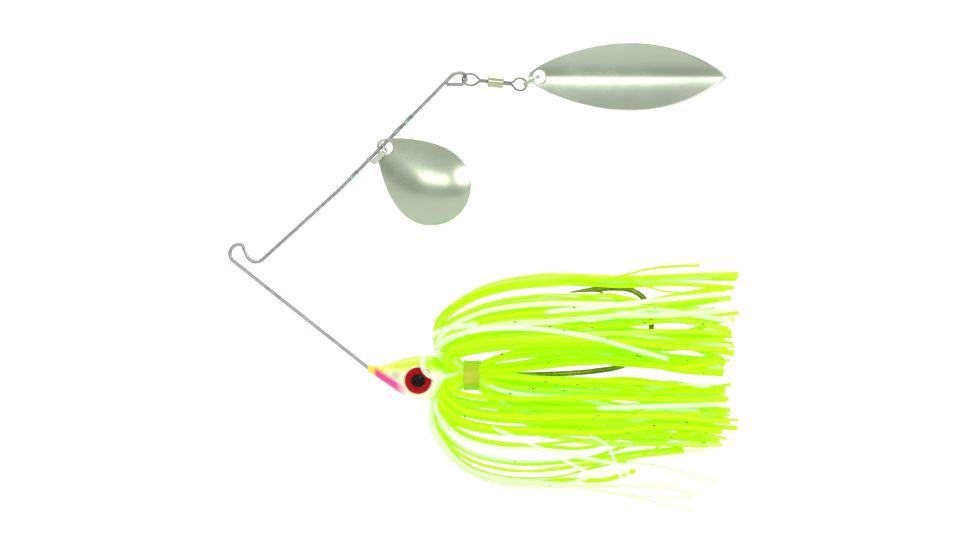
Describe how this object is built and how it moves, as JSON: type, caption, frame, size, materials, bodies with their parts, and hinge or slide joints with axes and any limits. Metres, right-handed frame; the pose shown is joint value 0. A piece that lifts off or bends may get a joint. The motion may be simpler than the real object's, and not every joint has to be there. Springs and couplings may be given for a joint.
{
  "type": "spinnerbait",
  "caption": "Spinnerbait: open-bend wire frame with painted head, up-turned hook, folded silicone skirt, teardrop blade on a clevis and leaf blade on a swivel.",
  "frame": {"origin": "the line tie: the middle of the open bend in the wire", "axes": "+X towards the tails of the blades and skirt, +Z towards the upper arm and hook point, wire and hook in the plane Y = 0, nose towards -X"},
  "size_m": [0.1399, 0.0276, 0.1247],
  "materials": {
    "stainless_wire": "drawn stainless spring wire, satin",
    "swivel_wire": "nickel-plated swivel wire, satin",
    "split_ring_steel": "nickel-plated spring steel",
    "blade_nickel": "nickel plate, softly polished",
    "clevis_nickel": "nickel-plated sheet, bright",
    "barrel_brass": "pale nickelled brass, satin",
    "hook_bronze": "bronze lacquer over steel, semi-gloss",
    "head_paint": "gloss enamel: chartreuse back, pearl belly, pink throat",
    "eye_print": "printed disc: red iris, black pupil",
    "eye_cap": "clear domed resin",
    "clear_bead": "clear moulded plastic",
    "band_rubber": "translucent yellow-green rubber collar",
    "skirt_silicone": "soft silicone strands, chartreuse mixed with clear white, black flecks"
  },
  "bodies": {
    "frame": {"wire_frame": "stainless_wire", "head": "head_paint", "hook": "hook_bronze", "left_eye_disc": "eye_print", "right_eye_disc": "eye_print", "left_eye_dome": "eye_cap", "right_eye_dome": "eye_cap", "skirt_band": "band_rubber", "skirt_waist": "skirt_silicone", "skirt_crest_left": "skirt_silicone", "skirt_crest_right": "skirt_silicone", "skirt_inner_upper_left": "skirt_silicone", "skirt_inner_upper_right": "skirt_silicone", "skirt_upper_left": "skirt_silicone", "skirt_upper_right": "skirt_silicone", "skirt_flank_upper_left": "skirt_silicone", "skirt_flank_upper_right": "skirt_silicone", "skirt_flank_lower_left": "skirt_silicone", "skirt_flank_lower_right": "skirt_silicone", "skirt_lower_left": "skirt_silicone", "skirt_lower_right": "skirt_silicone", "skirt_inner_lower_left": "skirt_silicone", "skirt_inner_lower_right": "skirt_silicone", "skirt_keel_left": "skirt_silicone", "skirt_keel_right": "skirt_silicone", "skirt_tail_upper_left": "skirt_silicone", "skirt_tail_upper_right": "skirt_silicone", "skirt_tail_side_left": "skirt_silicone", "skirt_tail_side_right": "skirt_silicone", "skirt_tail_lower_left": "skirt_silicone", "skirt_tail_lower_right": "skirt_silicone", "skirt_tail_keel": "skirt_silicone"},
    "lower_bead": {"lower_bead": "clear_bead"},
    "clevis": {"clevis": "clevis_nickel"},
    "colorado_blade": {"colorado_blade": "blade_nickel"},
    "near_upper_bead": {"near_upper_bead": "clear_bead"},
    "far_upper_bead": {"far_upper_bead": "clear_bead"},
    "swivel_front_eye": {"swivel_front_eye": "swivel_wire"},
    "swivel_barrel": {"swivel_barrel": "barrel_brass"},
    "swivel_rear_eye": {"swivel_rear_eye": "swivel_wire"},
    "split_ring": {"split_ring": "split_ring_steel"},
    "willow_blade": {"willow_blade": "blade_nickel"}
  },
  "joints": [
    {"name": "lower_bead_slide", "type": "slide", "parent": "frame", "child": "lower_bead", "axis": [0.702, 0, 0.7122], "range_m": [-0.003, 0.003]},
    {"name": "clevis_spin", "type": "hinge", "parent": "frame", "child": "clevis", "pos_m": [0.03819, 0, 0.02636], "axis": [0.702, 0, 0.7122], "continuous": true},
    {"name": "colorado_swing", "type": "hinge", "parent": "clevis", "child": "colorado_blade", "pos_m": [0.04105, -0.00215, 0.0276], "axis": [0, 1, 0], "range_deg": [-60, 12]},
    {"name": "near_bead_slide", "type": "slide", "parent": "frame", "child": "near_upper_bead", "axis": [0.702, 0, 0.7122], "range_m": [-0.003, 0]},
    {"name": "far_bead_slide", "type": "slide", "parent": "frame", "child": "far_upper_bead", "axis": [0.702, 0, 0.7122], "range_m": [0, 0.011]},
    {"name": "swivel_tilt", "type": "hinge", "parent": "frame", "child": "swivel_front_eye", "pos_m": [0.06107, 0, 0.04648], "axis": [0, 1, 0], "range_deg": [-25, 20]},
    {"name": "barrel_spin", "type": "hinge", "parent": "swivel_front_eye", "child": "swivel_barrel", "pos_m": [0.07069, 0, 0.04555], "axis": [0.9954, 0, -0.0958], "continuous": true},
    {"name": "rear_eye_spin", "type": "hinge", "parent": "swivel_barrel", "child": "swivel_rear_eye", "pos_m": [0.0773, 0, 0.04492], "axis": [0.9954, 0, -0.0958], "continuous": true},
    {"name": "split_ring_swing", "type": "hinge", "parent": "swivel_rear_eye", "child": "split_ring", "pos_m": [0.07826, 0, 0.04482], "axis": [0, 1, 0], "range_deg": [-15, 15]},
    {"name": "willow_swing", "type": "hinge", "parent": "split_ring", "child": "willow_blade", "pos_m": [0.0826, 0, 0.047], "axis": [0, 1, 0], "range_deg": [-15, 15]}
  ]
}
